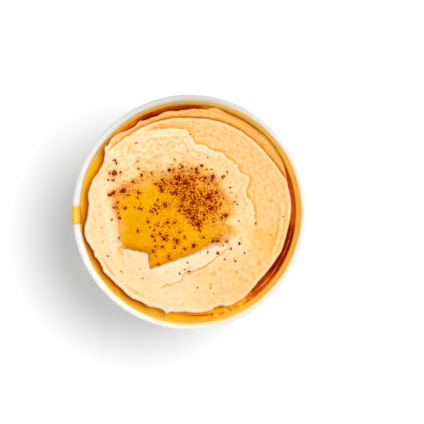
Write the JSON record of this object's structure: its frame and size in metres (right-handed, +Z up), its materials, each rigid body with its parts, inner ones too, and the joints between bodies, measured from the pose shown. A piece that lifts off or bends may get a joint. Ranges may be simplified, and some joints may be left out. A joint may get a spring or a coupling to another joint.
{
  "type": "tub of hummus",
  "caption": "Round paperboard tub of hummus, spooned into a crater that holds a pool of olive oil with paprika, and with a moat of oil inside the wall.",
  "frame": {"origin": "centre of the tub's base, on the surface that it stands on", "axes": "+Z up along the tub's axis; the side seam and the oil over the rim are towards -X, the crater's straight bank is towards -Y"},
  "size_m": [0.0989, 0.098, 0.0609],
  "materials": {
    "board": "white coated paperboard, satin",
    "hummus": "smooth chickpea paste, satin, with red paprika grains",
    "oil": "golden olive oil, glossy, with red paprika grains"
  },
  "bodies": {
    "root": {"tub_wall": "board", "tub_base": "board", "hummus": "hummus", "oil_pool": "oil", "oil_moat": "oil", "oil_over_rim": "oil"}
  },
  "joints": []
}
